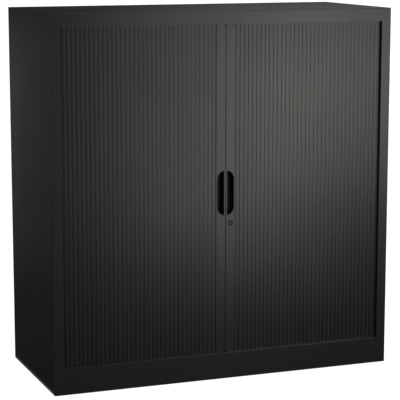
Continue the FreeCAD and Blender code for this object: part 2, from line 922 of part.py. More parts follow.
def make_shoes():
    """Glide shoes in the ends of the stiles. Their tongues run in the tracks."""
    inner = stile_inner + size.stile_wall
    outer = size.stile_width - size.slat_back - size.shoe_clearance
    block = [
        (inner, stile_plate_back),
        (outer, stile_plate_back),
        (outer, stile_front - size.stile_depth + size.stile_wall),
        (inner, stile_front - size.stile_depth + size.stile_wall),
    ]
    tongue = [
        (inner + size.shoe_inset, size.slat_crest - size.shoe_clearance),
        (outer - size.shoe_inset, size.slat_crest - size.shoe_clearance),
        (outer - size.shoe_inset, size.shoe_clearance - size.slat_back),
        (inner + size.shoe_inset, size.shoe_clearance - size.slat_back),
    ]
    tongue_length = stile_bottom - slat_bottom()
    for name, block_start, tongue_start in (
        ("bottom_shoe", stile_bottom, slat_bottom()),
        ("top_shoe", stile_top - size.shoe_height, stile_top),
    ):
        body = new_body(f"left_{name}")
        pad(body, "XY", [door_loop(LEFT, block)], block_start, size.shoe_height)
        pad(body, "XY", [door_loop(LEFT, tongue)], tongue_start, tongue_length)
        mirrored(f"right_{name}", body)


def make_centre_stops():
    """Blocks in the tracks that keep each curtain on its own side."""
    body = new_body("centre_stop", keep=False)
    half = stile_inner + size.stile_wall + size.shoe_inset - size.shoe_clearance
    front = front_line - size.slat_crest + size.shoe_clearance
    back = front_line + size.slat_back - size.shoe_clearance
    depth = size.track_height - size.track_wall
    pad(body, "XY", [rectangle(-half, front, half, back)], 0, depth)
    levels = [base_pan_top + size.track_wall, top_pan_under - size.track_height]
    group("centre_stops", body, [place(0, 0, level) for level in levels])


# Lock


def on_lock_axis(radius):
    """A circle on the lock's axis."""
    return (size.lock_offset, size.lock_height, radius)


def flatted_body():
    """The lock body's section, with flats that stop it from turning."""
    return moved(polygon(size.lock_body_radius, BODY_CORNERS), size.lock_offset, size.lock_height)


def make_lock():
    """Cam lock in the right stile, with its nut, turning plug, hook and screw."""
    bore = size.plug_radius + size.plug_fit
    head_front = stile_front_y - size.lock_head
    barrel = new_body("lock_barrel")
    pad(barrel, "XZ", [], head_front, size.lock_head, [on_lock_axis(size.lock_head_radius)])
    pad(barrel, "XZ", [flatted_body()], stile_front_y, size.lock_body)
    pocket(barrel, "XZ", [], head_front, size.lock_head + size.lock_body, [on_lock_axis(bore)])
    nut = new_body("lock_nut")
    corners = moved(polygon(size.lock_nut_radius, HEX_CORNERS), size.lock_offset, size.lock_height)
    nut_start = stile_front_y + size.stile_wall
    pad(nut, "XZ", ring(corners, flatted_body()), nut_start, size.lock_nut_height)
    plug = new_body("lock_plug")
    turning = [on_lock_axis(size.plug_radius)]
    pad(plug, "XZ", [], head_front, hook_front_y() - head_front, turning)
    key_slot = rectangle(
        size.lock_offset - size.key_slot_width / 2,
        size.lock_height - size.key_slot_height / 2,
        size.lock_offset + size.key_slot_width / 2,
        size.lock_height + size.key_slot_height / 2,
    )
    pocket(plug, "XZ", [key_slot], head_front, size.key_slot_depth)
    make_hook()
    screw = new_body("lock_hook_screw")
    screw_start = hook_front_y() + size.hook_thickness
    head = polygon(size.screw_head_radius, ROUND_CORNERS)
    pad(screw, "XZ", [moved(head, size.lock_offset, size.lock_height)], screw_start, size.screw_head)


def make_hook():
    """Lock hook, hanging down when the doors are free."""
    hook = new_body("lock_hook")
    across, high = size.lock_offset, size.lock_height
    half = size.hook_width / 2
    tip = high - size.hook_length
    web_reach = size.lock_offset + stile_inner + size.stile_wall + size.keeper_thickness
    barb_top = high - web_reach - size.hook_clearance
    arm = [
        (across + half, high),
        (across - half, high),
        (across - half, barb_top),
        (across - half - size.hook_barb, barb_top),
        (across - half - size.hook_barb, tip + half),
        (across - half, tip),
        (across + half, tip),
    ]
    boss = moved(polygon(size.hook_boss_radius, ROUND_CORNERS), across, high)
    pad(hook, "XZ", [boss], hook_front_y(), size.hook_thickness)
    pad(hook, "XZ", [arm], hook_front_y(), size.hook_thickness)


def make_keeper():
    """Steel keeper behind the left stile's web. The hook's barb catches behind it."""
    body = new_body("lock_keeper")
    slot = hook_slot(LEFT)
    low, high = slot[0][1], slot[2][1]
    front, back = slot[0][0] - size.keeper_margin, slot[2][0] + size.stile_wall
    plate = rectangle(front, low - size.keeper_margin, back, high + size.keeper_margin)
    start = -stile_inner - size.stile_wall - size.keeper_thickness
    pad(body, "YZ", ring(plate, slot), start, size.keeper_thickness)


# Levelling feet


def make_feet():
    """Levelling feet behind the plinth: a screw on a six-sided pad, in a nut on a bracket."""
    for corner, (across, deep, hand) in foot_places().items():
        stem = new_body(f"foot_stem_{corner}")
        outline = polygon(size.stem_radius, ROUND_CORNERS)
        pad(stem, "XY", [outline], size.foot_pad_height, size.stem_length)
        put(stem, across, deep, Size.of(0))
        foot_pad = new_body(f"foot_pad_{corner}")
        pad(foot_pad, "XY", [polygon(size.foot_pad_radius, HEX_CORNERS)], 0, size.foot_pad_height)
        put(foot_pad, across, deep, Size.of(0))
    make_foot_brackets()
    make_access_plugs()


def put(body, across, deep, high):
    """Bind a body's place to the sheet."""
    for axis, value in zip("xyz", (across, deep, high)):
        bind(body, f"Placement.Base.{axis}", value)
    doc.recompute()


def make_foot_brackets():
    """Angle brackets against the side skins, with a nut on each."""
    bracket = new_body("foot_bracket", keep=False)
    wall = size.foot_inset - size.sheet
    half = size.bracket_half_width
    bore = round_polygon(size.stem_radius + size.stem_fit, ROUND_CORNERS)
    plate = rectangle(-wall, -half, half, half)
    flange = rectangle(-wall, -half, -wall + size.bracket_thickness, half)
    pad(bracket, "XY", ring(plate, bore), size.bracket_height, size.bracket_thickness)
    flange_start = size.bracket_height + size.bracket_thickness
    pad(bracket, "XY", [flange], flange_start, size.bracket_flange)
    nut = new_body("foot_nut", keep=False)
    corners = polygon(size.foot_nut_radius, HEX_CORNERS)
    pad(nut, "XY", ring(corners, bore), flange_start, size.foot_nut_height)
    placements = []
    for across, deep, hand in foot_places().values():
        placements.append(place(across, deep, 0, 0 if hand == LEFT else FULL_TURN / 2))
    group("foot_brackets", bracket, placements)
    group("foot_nuts", nut, placements)


def make_access_plugs():
    """Caps in the bottom shelf, over the screwdriver holes of the feet."""
    cap = new_body("access_plug", keep=False)
    spigot = polygon(size.access_radius - size.plug_play, ROUND_CORNERS, FULL_TURN / 2 / ROUND_CORNERS)
    head = polygon(size.access_radius + size.plug_cap_edge, ROUND_CORNERS, FULL_TURN / 2 / ROUND_CORNERS)
    pad(cap, "XY", [spigot], -size.plug_spigot, size.plug_spigot)
    pad(cap, "XY", [head], 0, size.plug_cap_height)
    placements = [place(across, deep, size.plinth_height) for across, deep, hand in foot_places().values()]
    group("access_plugs", cap, placements)


def check_and_write():
    """Stop on any failed object, then write one file for each sub-part."""
    doc.recompute()
    for item in doc.Objects:
        if "Invalid" in item.State or "Error" in item.State:
            raise RuntimeError(f"{item.Label} did not build: {item.State}")
    for item in nodes:
        if item.Shape.isNull() or not item.Shape.isValid():
            raise RuntimeError(f"{item.Label} has no valid shape")
    os.makedirs("parts", exist_ok=True)
    for item in nodes:
        item.Shape.exportStep(f"parts/{item.Label}.step")


def build_cabinet():
    """Make every sub-part and write the files."""
    make_side_panel()
    make_top_panel()
    make_plinth()
    make_back_panel()
    flange_start = base_pan_top - size.sheet - size.pan_flange
    make_pan("base_pan", base_pan_top - size.sheet, flange_start, size.pan_flange, access_holes())
    roof_start = top_pan_under + size.sheet
    make_pan("top_pan", top_pan_under, roof_start, roof_under - size.bend_radius - roof_start, [])
    make_liner()
    make_tracks()
    make_shelves()
    make_shelf_clips()
    make_curtain()
    make_stile("left_stile", LEFT)
    make_stile("right_stile", RIGHT)
    make_handle_cup()
    make_shoes()
    make_centre_stops()
    make_lock()
    make_keeper()
    make_feet()
    check_and_write()


build_cabinet()
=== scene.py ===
import math
import random

import bmesh
import bpy
from bpy.props import FloatProperty, FloatVectorProperty, IntProperty, PointerProperty
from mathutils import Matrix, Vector


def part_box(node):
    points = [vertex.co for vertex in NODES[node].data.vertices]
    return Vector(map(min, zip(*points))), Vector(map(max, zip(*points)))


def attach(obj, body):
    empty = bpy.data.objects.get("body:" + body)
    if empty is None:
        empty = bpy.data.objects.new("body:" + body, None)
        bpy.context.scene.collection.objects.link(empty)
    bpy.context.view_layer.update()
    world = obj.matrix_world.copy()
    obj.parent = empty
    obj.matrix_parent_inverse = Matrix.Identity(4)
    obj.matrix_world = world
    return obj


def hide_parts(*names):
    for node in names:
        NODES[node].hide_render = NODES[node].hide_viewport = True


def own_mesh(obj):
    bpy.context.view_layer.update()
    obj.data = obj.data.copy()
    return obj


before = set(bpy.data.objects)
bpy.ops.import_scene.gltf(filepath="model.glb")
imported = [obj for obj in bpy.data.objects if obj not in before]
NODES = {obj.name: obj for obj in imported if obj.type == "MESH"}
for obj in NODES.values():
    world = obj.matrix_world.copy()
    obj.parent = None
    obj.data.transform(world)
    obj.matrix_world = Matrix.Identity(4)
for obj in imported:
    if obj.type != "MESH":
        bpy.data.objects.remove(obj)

bl_info = {
    "name": "Roll Front Cabinet",
    "version": (1, 0, 0),
    "blender": (4, 5, 0),
    "location": "3D View > Sidebar > Cabinet",
    "description": "Finishes, curtains and fittings of a cabinet with two roller curtains",
    "category": "Object",
}

FULL_TURN = 2 * math.pi

# Each door's side, as the sign of X.
HANDS = {"left": -1, "right": 1}

# Lowest and highest corners of nodes that pieces of the scene are fitted to, in metres.
SLATS_LOW, SLATS_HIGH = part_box("left_slats")
STILE_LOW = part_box("right_stile")[0]
CUP_LOW, CUP_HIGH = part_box("right_handle_cup")
BARREL_LOW, BARREL_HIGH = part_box("lock_barrel")
PLUG_LOW, PLUG_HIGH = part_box("lock_plug")
SHELF_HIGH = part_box("bottom_shelf")[1]

CORNERS = ("front_left", "front_right", "rear_left", "rear_right")

# CAD nodes that stay, by the finish that each one gets.
COATED = (
    "left_side_panel", "right_side_panel", "top_panel", "plinth_front", "back_panel",
    "base_pan", "top_pan", "left_inner_liner", "right_inner_liner",
    "bottom_shelf", "shelf_lower", "shelf_upper",
)
STILES = ("left_stile", "right_stile")
TRACKS = (
    "left_bottom_track", "right_bottom_track", "left_top_track", "right_top_track", "centre_stops",
)
SHOES = ("left_top_shoe", "left_bottom_shoe", "right_top_shoe", "right_bottom_shoe")
PLATED = (
    "shelf_clips", "foot_brackets", "foot_nuts",
    "lock_keeper", "lock_nut", "lock_hook", "lock_hook_screw",
)
PADS = tuple(f"foot_pad_{corner}" for corner in CORNERS)


class CurtainSettings(bpy.types.PropertyGroup):
    """Sizes of the roller curtains."""

    pitch: FloatProperty(
        name="Slat pitch", description="Distance from one slat to the next",
        default=0.0125, min=0.005, unit="LENGTH",
    )
    crest_start: FloatProperty(
        name="Crest start", description="Distance from a slat's bead to the near side of its crest",
        default=0.0022, unit="LENGTH",
    )
    crest_width: FloatProperty(
        name="Crest width", description="Width of the raised rib of a slat",
        default=0.0081, unit="LENGTH",
    )
    crest: FloatProperty(
        name="Crest", description="Height of the rib above the hinge line",
        default=0.0041, unit="LENGTH",
    )
    land: FloatProperty(
        name="Land", description="Height of the flat between two ribs",
        default=0.0036, unit="LENGTH",
    )
    rounding: FloatProperty(
        name="Rib rounding", description="Radius along the edges of a rib",
        default=0.00015, unit="LENGTH",
    )
    crown: FloatProperty(
        name="Rib crown", description="Height by which the middle of a rib stands above its edges",
        default=0.00002, unit="LENGTH",
    )
    back: FloatProperty(
        name="Back", description="Distance from the hinge line to the back of a slat",
        default=0.0019, unit="LENGTH",
    )
    bead: FloatProperty(
        name="Bead radius", description="Radius of the bead on a slat's edge",
        default=0.00105, unit="LENGTH",
    )
    socket: FloatProperty(
        name="Socket radius", description="Inner radius of the socket that holds the next bead",
        default=0.00135, unit="LENGTH",
    )
    neck: FloatProperty(
        name="Neck", description="Thickness of the web between bead and rib",
        default=0.0008, unit="LENGTH",
    )
    corner_radius: FloatProperty(
        name="Corner radius", description="Radius of the hinge line at the front corner",
        default=0.02, unit="LENGTH",
    )
    first_hinge: FloatProperty(
        name="First hinge",
        description="Distance of the first hinge from the middle of the cabinet",
        default=0.028, unit="LENGTH",
    )
    corner_centre: FloatProperty(
        name="Corner centre",
        description="Distance of the front corner's centre from the middle of the cabinet",
        default=0.4732, unit="LENGTH",
    )
    count: IntProperty(name="Slats", description="Slats in each curtain", default=38, min=1)
    folded: FloatProperty(
        name="Folded share",
        description="Share of its width that an open curtain keeps behind the jamb",
        default=0.05, min=0.01, max=1.0, subtype="FACTOR",
    )
    # Painted shade in the grooves: the faces between two ribs get the slats' tone times this share.
    groove_shade: FloatProperty(
        name="Groove tone", description="Brightness of the grooves between the ribs",
        default=0.25, min=0.0,
    )
    seed: IntProperty(
        name="Seed", description="Seed for the slats' small differences in tone",
        default=7,
    )


class FinishSettings(bpy.types.PropertyGroup):
    """Colours and gloss of the finishes."""

    coat_colour: FloatVectorProperty(
        name="Powder coat", description="Colour of the coated steel",
        default=(0.006, 0.006, 0.006), min=0.0, max=1.0, subtype="COLOR",
    )
    coat_roughness: FloatProperty(
        name="Coat roughness", description="Roughness of the powder coat",
        default=0.31, min=0.0, max=1.0, subtype="FACTOR",
    )
    coat_level: FloatProperty(
        name="Coat reflection", description="Specular level of the powder coat",
        default=0.2, min=0.0, max=1.0, subtype="FACTOR",
    )
    slat_colour: FloatVectorProperty(
        name="Slats", description="Colour of the extruded slats",
        default=(0.0062, 0.0062, 0.0062), min=0.0, max=1.0, subtype="COLOR",
    )
    slat_roughness: FloatProperty(
        name="Slat roughness", description="Roughness of the slats",
        default=0.32, min=0.0, max=1.0, subtype="FACTOR",
    )
    # Finger cups: black plastic, with a colour darker than the coat that is painted shade in the
    # cups' recesses.
    cup_colour_with_shade: FloatVectorProperty(
        name="Finger cups", description="Colour of the moulded finger cups",
        default=(0.0016, 0.0016, 0.0017), min=0.0, max=1.0, subtype="COLOR",
    )
    track_colour: FloatVectorProperty(
        name="Tracks", description="Colour of the curved tracks",
        default=(0.012, 0.012, 0.012), min=0.0, max=1.0, subtype="COLOR",
    )
    shoe_colour: FloatVectorProperty(
        name="Glides", description="Colour of the glide shoes and caps",
        default=(0.018, 0.018, 0.018), min=0.0, max=1.0, subtype="COLOR",
    )
    zinc_colour: FloatVectorProperty(
        name="Zinc", description="Colour of the plated steel",
        default=(0.56, 0.57, 0.58), min=0.0, max=1.0, subtype="COLOR",
    )
    lock_colour: FloatVectorProperty(
        name="Lock", description="Colour of the lock's blackened bezel",
        default=(0.007, 0.007, 0.007), min=0.0, max=1.0, subtype="COLOR",
    )
    plug_colour: FloatVectorProperty(
        name="Lock plug", description="Colour of the lock's plated plug",
        default=(0.016, 0.016, 0.016), min=0.0, max=1.0, subtype="COLOR",
    )


class StageSettings(bpy.types.PropertyGroup):
    """Camera, lamps and world."""

    azimuth: FloatProperty(
        name="Azimuth", description="Direction of the camera round the cabinet",
        default=math.radians(-21.0406), subtype="ANGLE",
    )
    elevation: FloatProperty(
        name="Elevation", description="Height of the camera above the horizon",
        default=math.radians(9.5933), subtype="ANGLE",
    )
    distance: FloatProperty(
        name="Distance", description="Distance from the camera to its target",
        default=4.5642, unit="LENGTH",
    )
    target: FloatVectorProperty(
        name="Target", description="Point that the camera looks at",
        default=(0.00381, 0.0, 0.47532), subtype="TRANSLATION",
    )
    lens: FloatProperty(
        name="Lens", description="Focal length of the camera",
        default=141.77, unit="CAMERA",
    )
    key_power: FloatProperty(
        name="Key", description="Power of the softbox at the front right",
        default=16.8, unit="POWER",
    )
    low_power: FloatProperty(
        name="Low key", description="Power of the small softbox at the lower middle",
        default=5.0, unit="POWER",
    )
    wash_power: FloatProperty(
        name="Wash", description="Power of the tall softbox that washes the left curtain",
        default=7.5, unit="POWER",
    )
    top_power: FloatProperty(
        name="Top", description="Power of the overhead softbox",
        default=6.0, unit="POWER",
    )
    fill_power: FloatProperty(
        name="Fill", description="Power of the left fill",
        default=9.0, unit="POWER",
    )
    key_colour: FloatVectorProperty(
        name="Key colour", description="Colour of the front softboxes",
        default=(1.0, 1.0, 0.945), min=0.0, max=1.0, subtype="COLOR",
    )
    ambient: FloatProperty(
        name="Ambient", description="Strength of the world's light on the surfaces",
        default=1.0,
    )
    ambient_colour: FloatVectorProperty(
        name="Ambient colour", description="Colour of the world's light on the surfaces",
        default=(0.97, 0.96, 1.0), min=0.0, max=1.0, subtype="COLOR",
    )


# Meshes


def add_object(name, build, material, body, replaced=(), smooth_angle=35.0):
    """Make an object from a bmesh builder, and let it ride on its body and stand for its nodes."""
    form = bmesh.new()
    build(form)
    bmesh.ops.recalc_face_normals(form, faces=form.faces)
    mesh = bpy.data.meshes.new(name)
    form.to_mesh(mesh)
    form.free()
    mesh.shade_smooth()
    mesh.set_sharp_from_angle(angle=math.radians(smooth_angle))
    mesh.materials.append(material)
    made = bpy.data.objects.new(name, mesh)
    bpy.context.scene.collection.objects.link(made)
    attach(made, body)
    if replaced:
        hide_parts(*replaced)
    return made


def add_loft(form, loops, first_cap=True, last_cap=True):
    """Skin over closed loops of equal length."""
    rings = [[form.verts.new(point) for point in loop] for loop in loops]
    count = len(rings[0])
    for low, high in zip(rings, rings[1:]):
        for index in range(count):
            following = (index + 1) % count
            form.faces.new((low[index], low[following], high[following], high[index]))
    if first_cap:
        form.faces.new(rings[0][::-1])
    if last_cap:
        form.faces.new(rings[-1])
    return rings


def add_turned(form, profile, origin, along, side, segments, closed=False):
    """Turn a profile of radius and height round an axis. A closed profile makes a ring."""
    along = Vector(along).normalized()
    side = Vector(side).normalized()
    across = along.cross(side)
    loops = []
    for radius, height in profile:
        ring = []
        for index in range(segments):
            angle = FULL_TURN * index / segments
            reach = side * math.cos(angle) + across * math.sin(angle)
            ring.append(Vector(origin) + along * height + reach * radius)
        loops.append(ring)
    if closed:
        loops.append(loops[0])
    rings = add_loft(form, loops, not closed, not closed)
    if closed:
        for kept, doubled in zip(rings[0], rings[-1]):
            bmesh.ops.pointmerge(form, verts=[kept, doubled], merge_co=kept.co)


# Node groups that several finishes share

# Nearly all of a noise lies between these two values.
NOISE_LOW, NOISE_HIGH = 0.3, 0.7

# Part of the zinc's pattern that its crystals give. Clouds give the rest.
CRYSTAL_SHARE = 0.4


def add_node(tree, kind, inputs=None, **settings):
    """Add a node, set it up and join or fill its inputs."""
    node = tree.nodes.new(kind)
    for key, value in settings.items():
        setattr(node, key, value)
    for key, value in (inputs or {}).items():
        if isinstance(value, bpy.types.NodeSocket):
            tree.links.new(value, node.inputs[key])
        else:
            node.inputs[key].default_value = value
    return node


def start_group(name, inputs, outputs):
    """A node group of plain values, with what its inputs give and a call that closes it."""
    tree = bpy.data.node_groups.new(name, "ShaderNodeTree")

    def add_socket(label, way):
        return tree.interface.new_socket(name=label, in_out=way, socket_type="NodeSocketFloat")

    for label, value in inputs.items():
        add_socket(label, "INPUT").default_value = value
    for label in outputs:
        add_socket(label, "OUTPUT")
    source = tree.nodes.new("NodeGroupInput")
    target = tree.nodes.new("NodeGroupOutput")

    def close(**results):
        for label, value in results.items():
            tree.links.new(value, target.inputs[label])

    return tree, source.outputs, close


def find_place(tree):
    """The piece's own coordinates."""
    return add_node(tree, "ShaderNodeTexCoord").outputs["Object"]


def pick_axis(tree, vector, axis):
    """One coordinate of a vector."""
    return add_node(tree, "ShaderNodeSeparateXYZ", {"Vector": vector}).outputs[axis]


def add_noise(tree, scale, detail=2.0, stretch=None):
    """Noise over the piece's own coordinates, which may be stretched first."""
    place = find_place(tree)
    if stretch:
        place = add_node(
            tree, "ShaderNodeVectorMath", {0: place, 1: stretch}, operation="MULTIPLY"
        ).outputs["Vector"]
    return add_node(
        tree, "ShaderNodeTexNoise", {"Vector": place, "Scale": scale, "Detail": detail}
    ).outputs["Fac"]


def add_range(tree, value, low, high, to_low=0.0, to_high=1.0):
    """Map a value from one range to another, and clamp it."""
    return add_node(
        tree, "ShaderNodeMapRange",
        {"Value": value, "From Min": low, "From Max": high, "To Min": to_low, "To Max": to_high},
    ).outputs["Result"]


def add_math(tree, operation, first, second):
    """One operation on two values."""
    return add_node(
        tree, "ShaderNodeMath", {0: first, 1: second}, operation=operation
    ).outputs["Value"]


def spread(tree, noise, low, high):
    """Stretch a noise until it runs from a low to a high value."""
    return add_range(tree, noise, NOISE_LOW, NOISE_HIGH, low, high)


def vary(tree, noise, reach, first="SUBTRACT", last="ADD"):
    """Let a noise run from one side of 1 to the other, as far as a reach."""
    return spread(tree, noise, add_math(tree, first, 1.0, reach), add_math(tree, last, 1.0, reach))


def make_peel_group():
    """The orange peel of a sprayed or baked coat, with slow changes in tone and gloss."""
    tree, source, close = start_group(
        "Coat Peel", {"Peel Scale": 600.0, "Drift": 0.1}, ("Height", "Tone", "Gloss")
    )
    slow = add_noise(tree, scale=4.0, detail=4.0)
    close(
        Height=add_noise(tree, source["Peel Scale"], detail=3.0),
        Tone=vary(tree, slow, source["Drift"]),
        Gloss=vary(tree, slow, source["Drift"], "ADD", "SUBTRACT"),
    )
    return tree


def make_scuff_group():
    """Fine scuffs that gather near the floor, where shoes and brooms touch the cabinet."""
    tree, source, close = start_group("Floor Scuffs", {"Reach": 0.12, "Amount": 0.5}, ("Mask",))
    height = pick_axis(tree, find_place(tree), "Z")
    near_floor = add_range(tree, height, 0.0, source["Reach"], to_low=1.0, to_high=0.0)
    lines = add_noise(tree, scale=30.0, detail=6.0, stretch=(1.0, 1.0, 9.0))
    strokes = add_math(tree, "MULTIPLY", near_floor, add_range(tree, lines, low=0.62, high=0.72))
    close(Mask=add_math(tree, "MULTIPLY", strokes, source["Amount"]))
    return tree


def make_dust_group():
    """A thin film of dust on what faces up."""
    tree, source, close = start_group("Dust Film", {"Amount": 0.1}, ("Mask",))
    up = pick_axis(tree, add_node(tree, "ShaderNodeNewGeometry").outputs["Normal"], "Z")
    film = add_range(tree, add_noise(tree, scale=9.0, detail=5.0), low=0.35, high=0.75)
    lying = add_math(tree, "MULTIPLY", add_range(tree, up, low=0.6, high=1.0), film)
    close(Mask=add_math(tree, "MULTIPLY", lying, source["Amount"]))
    return tree


def make_grain_group():
    """The fine spark-eroded grain of a moulded plastic."""
    tree, source, close = start_group(
        "Moulded Grain", {"Grain Scale": 1500.0, "Contrast": 0.15}, ("Height", "Tone")
    )
    cells = add_node(
        tree, "ShaderNodeTexVoronoi", {"Vector": find_place(tree), "Scale": source["Grain Scale"]}
    ).outputs["Distance"]
    cloud = add_noise(tree, scale=35.0, detail=3.0)
    close(Height=cells, Tone=vary(tree, cloud, source["Contrast"]))
    return tree


def make_streak_group():
    """Long fine lines that run up an extruded or rolled piece."""
    tree, source, close = start_group(
        "Drawn Streaks", {"Streak Scale": 900.0, "Contrast": 0.1}, ("Height", "Tone")
    )
    lines = add_noise(tree, source["Streak Scale"], stretch=(1.0, 1.0, 0.004))
    close(Height=lines, Tone=vary(tree, lines, source["Contrast"]))
    return tree


def make_spangle_group():
    """The cloudy crystals of zinc plating."""
    tree, source, close = start_group("Zinc Cloud", {"Crystal Scale": 220.0}, ("Tone", "Gloss"))
    crystal = add_node(
        tree, "ShaderNodeTexVoronoi", {"Vector": find_place(tree), "Scale": source["Crystal Scale"]}
    ).outputs["Color"]
    shade = add_node(tree, "ShaderNodeSeparateColor", {"Color": crystal}).outputs["Red"]
    cloud = add_noise(tree, scale=60.0, detail=4.0)
    crystals = add_math(tree, "MULTIPLY", shade, CRYSTAL_SHARE)
    mixed = add_math(tree, "ADD", crystals, add_math(tree, "MULTIPLY", cloud, 1 - CRYSTAL_SHARE))
    close(
        Tone=add_range(tree, mixed, low=0.2, high=0.8, to_low=0.8, to_high=1.1),
        Gloss=add_range(tree, mixed, low=0.2, high=0.8, to_low=0.28, to_high=0.42),
    )
    return tree


GROUP_MAKERS = {
    "Coat Peel": make_peel_group,
    "Floor Scuffs": make_scuff_group,
    "Dust Film": make_dust_group,
    "Moulded Grain": make_grain_group,
    "Drawn Streaks": make_streak_group,
    "Zinc Cloud": make_spangle_group,
}


def place_group(tree, name, inputs=None):
    """Put a shared group into a material, and make it when it is first used."""
    shared = bpy.data.node_groups.get(name) or GROUP_MAKERS[name]()
    return add_node(tree, "ShaderNodeGroup", inputs, node_tree=shared).outputs


# Materials

# Sockets of a Mix node that mixes colours.
MIX_FIRST, MIX_SECOND, MIX_RESULT = 6, 7, 2

SCUFF_COLOUR = (0.035, 0.034, 0.032)
SCUFF_ROUGHNESS = 0.3
DUST_COLOUR = (0.12, 0.115, 0.105)

# How CAD nodes that stay get rounded edges.
WELD_REACH = 0.00001
EDGE_SEGMENTS = 2
EDGE_ANGLE = math.radians(40.0)


def start_material(name, **sockets):
    """A material with its shader. Plain numbers go straight onto the shader's sockets."""
    material = bpy.data.materials.new(name)
    material.use_nodes = True
    tree = material.node_tree
    shader = tree.nodes["Principled BSDF"]
    for label, value in sockets.items():
        shader.inputs[label.replace("_", " ")].default_value = value
    return material, tree, shader


def tint(tree, colour, tone):
    """A colour that a tone makes lighter or darker."""
    return add_node(
        tree, "ShaderNodeVectorMath", {0: tuple(colour), 1: tone}, operation="MULTIPLY"
    ).outputs["Vector"]


def lay_over(tree, base, cover, mask):
    """A plain colour over another colour through a mask."""
    inputs = {"Factor": mask, MIX_FIRST: base, MIX_SECOND: (*cover, 1.0)}
    return add_node(tree, "ShaderNodeMix", inputs, data_type="RGBA").outputs[MIX_RESULT]


def feed(tree, shader, colour, gloss, height=None, distance=0.0):
    """Feed a colour, a roughness and, where there is one, a relief to the shader."""
    tree.links.new(colour, shader.inputs["Base Color"])
    tree.links.new(gloss, shader.inputs["Roughness"])
    if height is not None:
        bump = add_node(tree, "ShaderNodeBump", {"Height": height, "Distance": distance})
        tree.links.new(bump.outputs["Normal"], shader.inputs["Normal"])


def find_or_make(name, make):
    """A material by name, made when it is first asked for."""
    return bpy.data.materials.get(name) or make(name)


def make_coat(name):
    """Black powder coat on sheet steel."""
    finish = bpy.context.scene.cabinet_finish
    material, tree, shader = start_material(name, Specular_IOR_Level=finish.coat_level)
    peel = place_group(tree, "Coat Peel", {"Peel Scale": 520.0, "Drift": 0.06})
    scuffs = place_group(tree, "Floor Scuffs", {"Reach": 0.09, "Amount": 0.15})
    dust = place_group(tree, "Dust Film", {"Amount": 0.06})
    colour = tint(tree, finish.coat_colour, peel["Tone"])
    colour = lay_over(tree, colour, SCUFF_COLOUR, scuffs["Mask"])
    colour = lay_over(tree, colour, DUST_COLOUR, dust["Mask"])
    gloss = add_math(tree, "MULTIPLY", peel["Gloss"], finish.coat_roughness)
    worn = add_math(tree, "MULTIPLY", scuffs["Mask"], SCUFF_ROUGHNESS)
    feed(tree, shader, colour, add_math(tree, "ADD", gloss, worn), peel["Height"], distance=0.00006)
    return material


def make_slat_plastic_and_groove_shade(name):
    """Black extruded plastic, with fine drawn lines, a tone of its own for each slat and painted
    shade in the grooves between the ribs.
    """
    finish = bpy.context.scene.cabinet_finish
    material, tree, shader = start_material(name, Specular_IOR_Level=finish.coat_level)
    streaks = place_group(tree, "Drawn Streaks", {"Streak Scale": 1400.0, "Contrast": 0.1})
    peel = place_group(tree, "Coat Peel", {"Peel Scale": 900.0, "Drift": 0.05})
    # Each slat's own tone, with painted shade on the faces in the grooves between the ribs.
    own = add_node(tree, "ShaderNodeAttribute", attribute_name="slat_tone_and_groove_shade").outputs["Fac"]
    tone = add_math(tree, "MULTIPLY", streaks["Tone"], peel["Tone"])
    tone = add_math(tree, "MULTIPLY", tone, own)
    colour = tint(tree, finish.slat_colour, tone)
    gloss = add_math(tree, "MULTIPLY", peel["Gloss"], finish.slat_roughness)
    feed(tree, shader, colour, gloss, streaks["Height"], distance=0.00003)
    return material


def make_plastic(name, colour, roughness, level=0.4, grain=1500.0, depth=0.00004):
    """A moulded plastic with a fine grain."""
    material, tree, shader = start_material(name, Specular_IOR_Level=level)
    mould = place_group(tree, "Moulded Grain", {"Grain Scale": grain, "Contrast": 0.12})
    gloss = add_math(tree, "MULTIPLY", mould["Tone"], roughness)
    feed(tree, shader, tint(tree, colour, mould["Tone"]), gloss, mould["Height"], depth)
    return material


def make_cup_plastic_and_shade(name):
    """Matt black plastic of the finger cups, coloured darker than the coat as painted shade in
    their recesses.
    """
    colour = bpy.context.scene.cabinet_finish.cup_colour_with_shade
    return make_plastic(name, colour, roughness=0.5, level=0.05)


def make_track_plastic(name):
    """Smooth dark plastic of the tracks."""
    colour = bpy.context.scene.cabinet_finish.track_colour
    return make_plastic(name, colour, roughness=0.34, level=0.35, grain=700.0, depth=0.00002)


def make_glide_plastic(name):
    """Hard plastic of the glide shoes, pads and caps."""
    return make_plastic(name, bpy.context.scene.cabinet_finish.shoe_colour, roughness=0.42)


def make_zinc(name):
    """Bright zinc plating."""
    finish = bpy.context.scene.cabinet_finish
    material, tree, shader = start_material(name, Metallic=1.0)
    cloud = place_group(tree, "Zinc Cloud", {"Crystal Scale": 260.0})
    feed(tree, shader, tint(tree, finish.zinc_colour, cloud["Tone"]), cloud["Gloss"])
    return material


def make_metal(name, colour, roughness):
    """Turned metal with fine lines."""
    material, tree, shader = start_material(name, Metallic=1.0)
    streaks = place_group(tree, "Drawn Streaks", {"Streak Scale": 2200.0, "Contrast": 0.12})
    tinted = tint(tree, colour, streaks["Tone"])
    gloss = add_math(tree, "MULTIPLY", streaks["Tone"], roughness)
    feed(tree, shader, tinted, gloss, streaks["Height"], distance=0.00001)
    return material


def make_lock_metal(name):
    """Blackened bezel of the lock."""
    return make_metal(name, bpy.context.scene.cabinet_finish.lock_colour, roughness=0.3)


def make_plug_metal(name):
    """Plated plug of the lock."""
    return make_metal(name, bpy.context.scene.cabinet_finish.plug_colour, roughness=0.28)


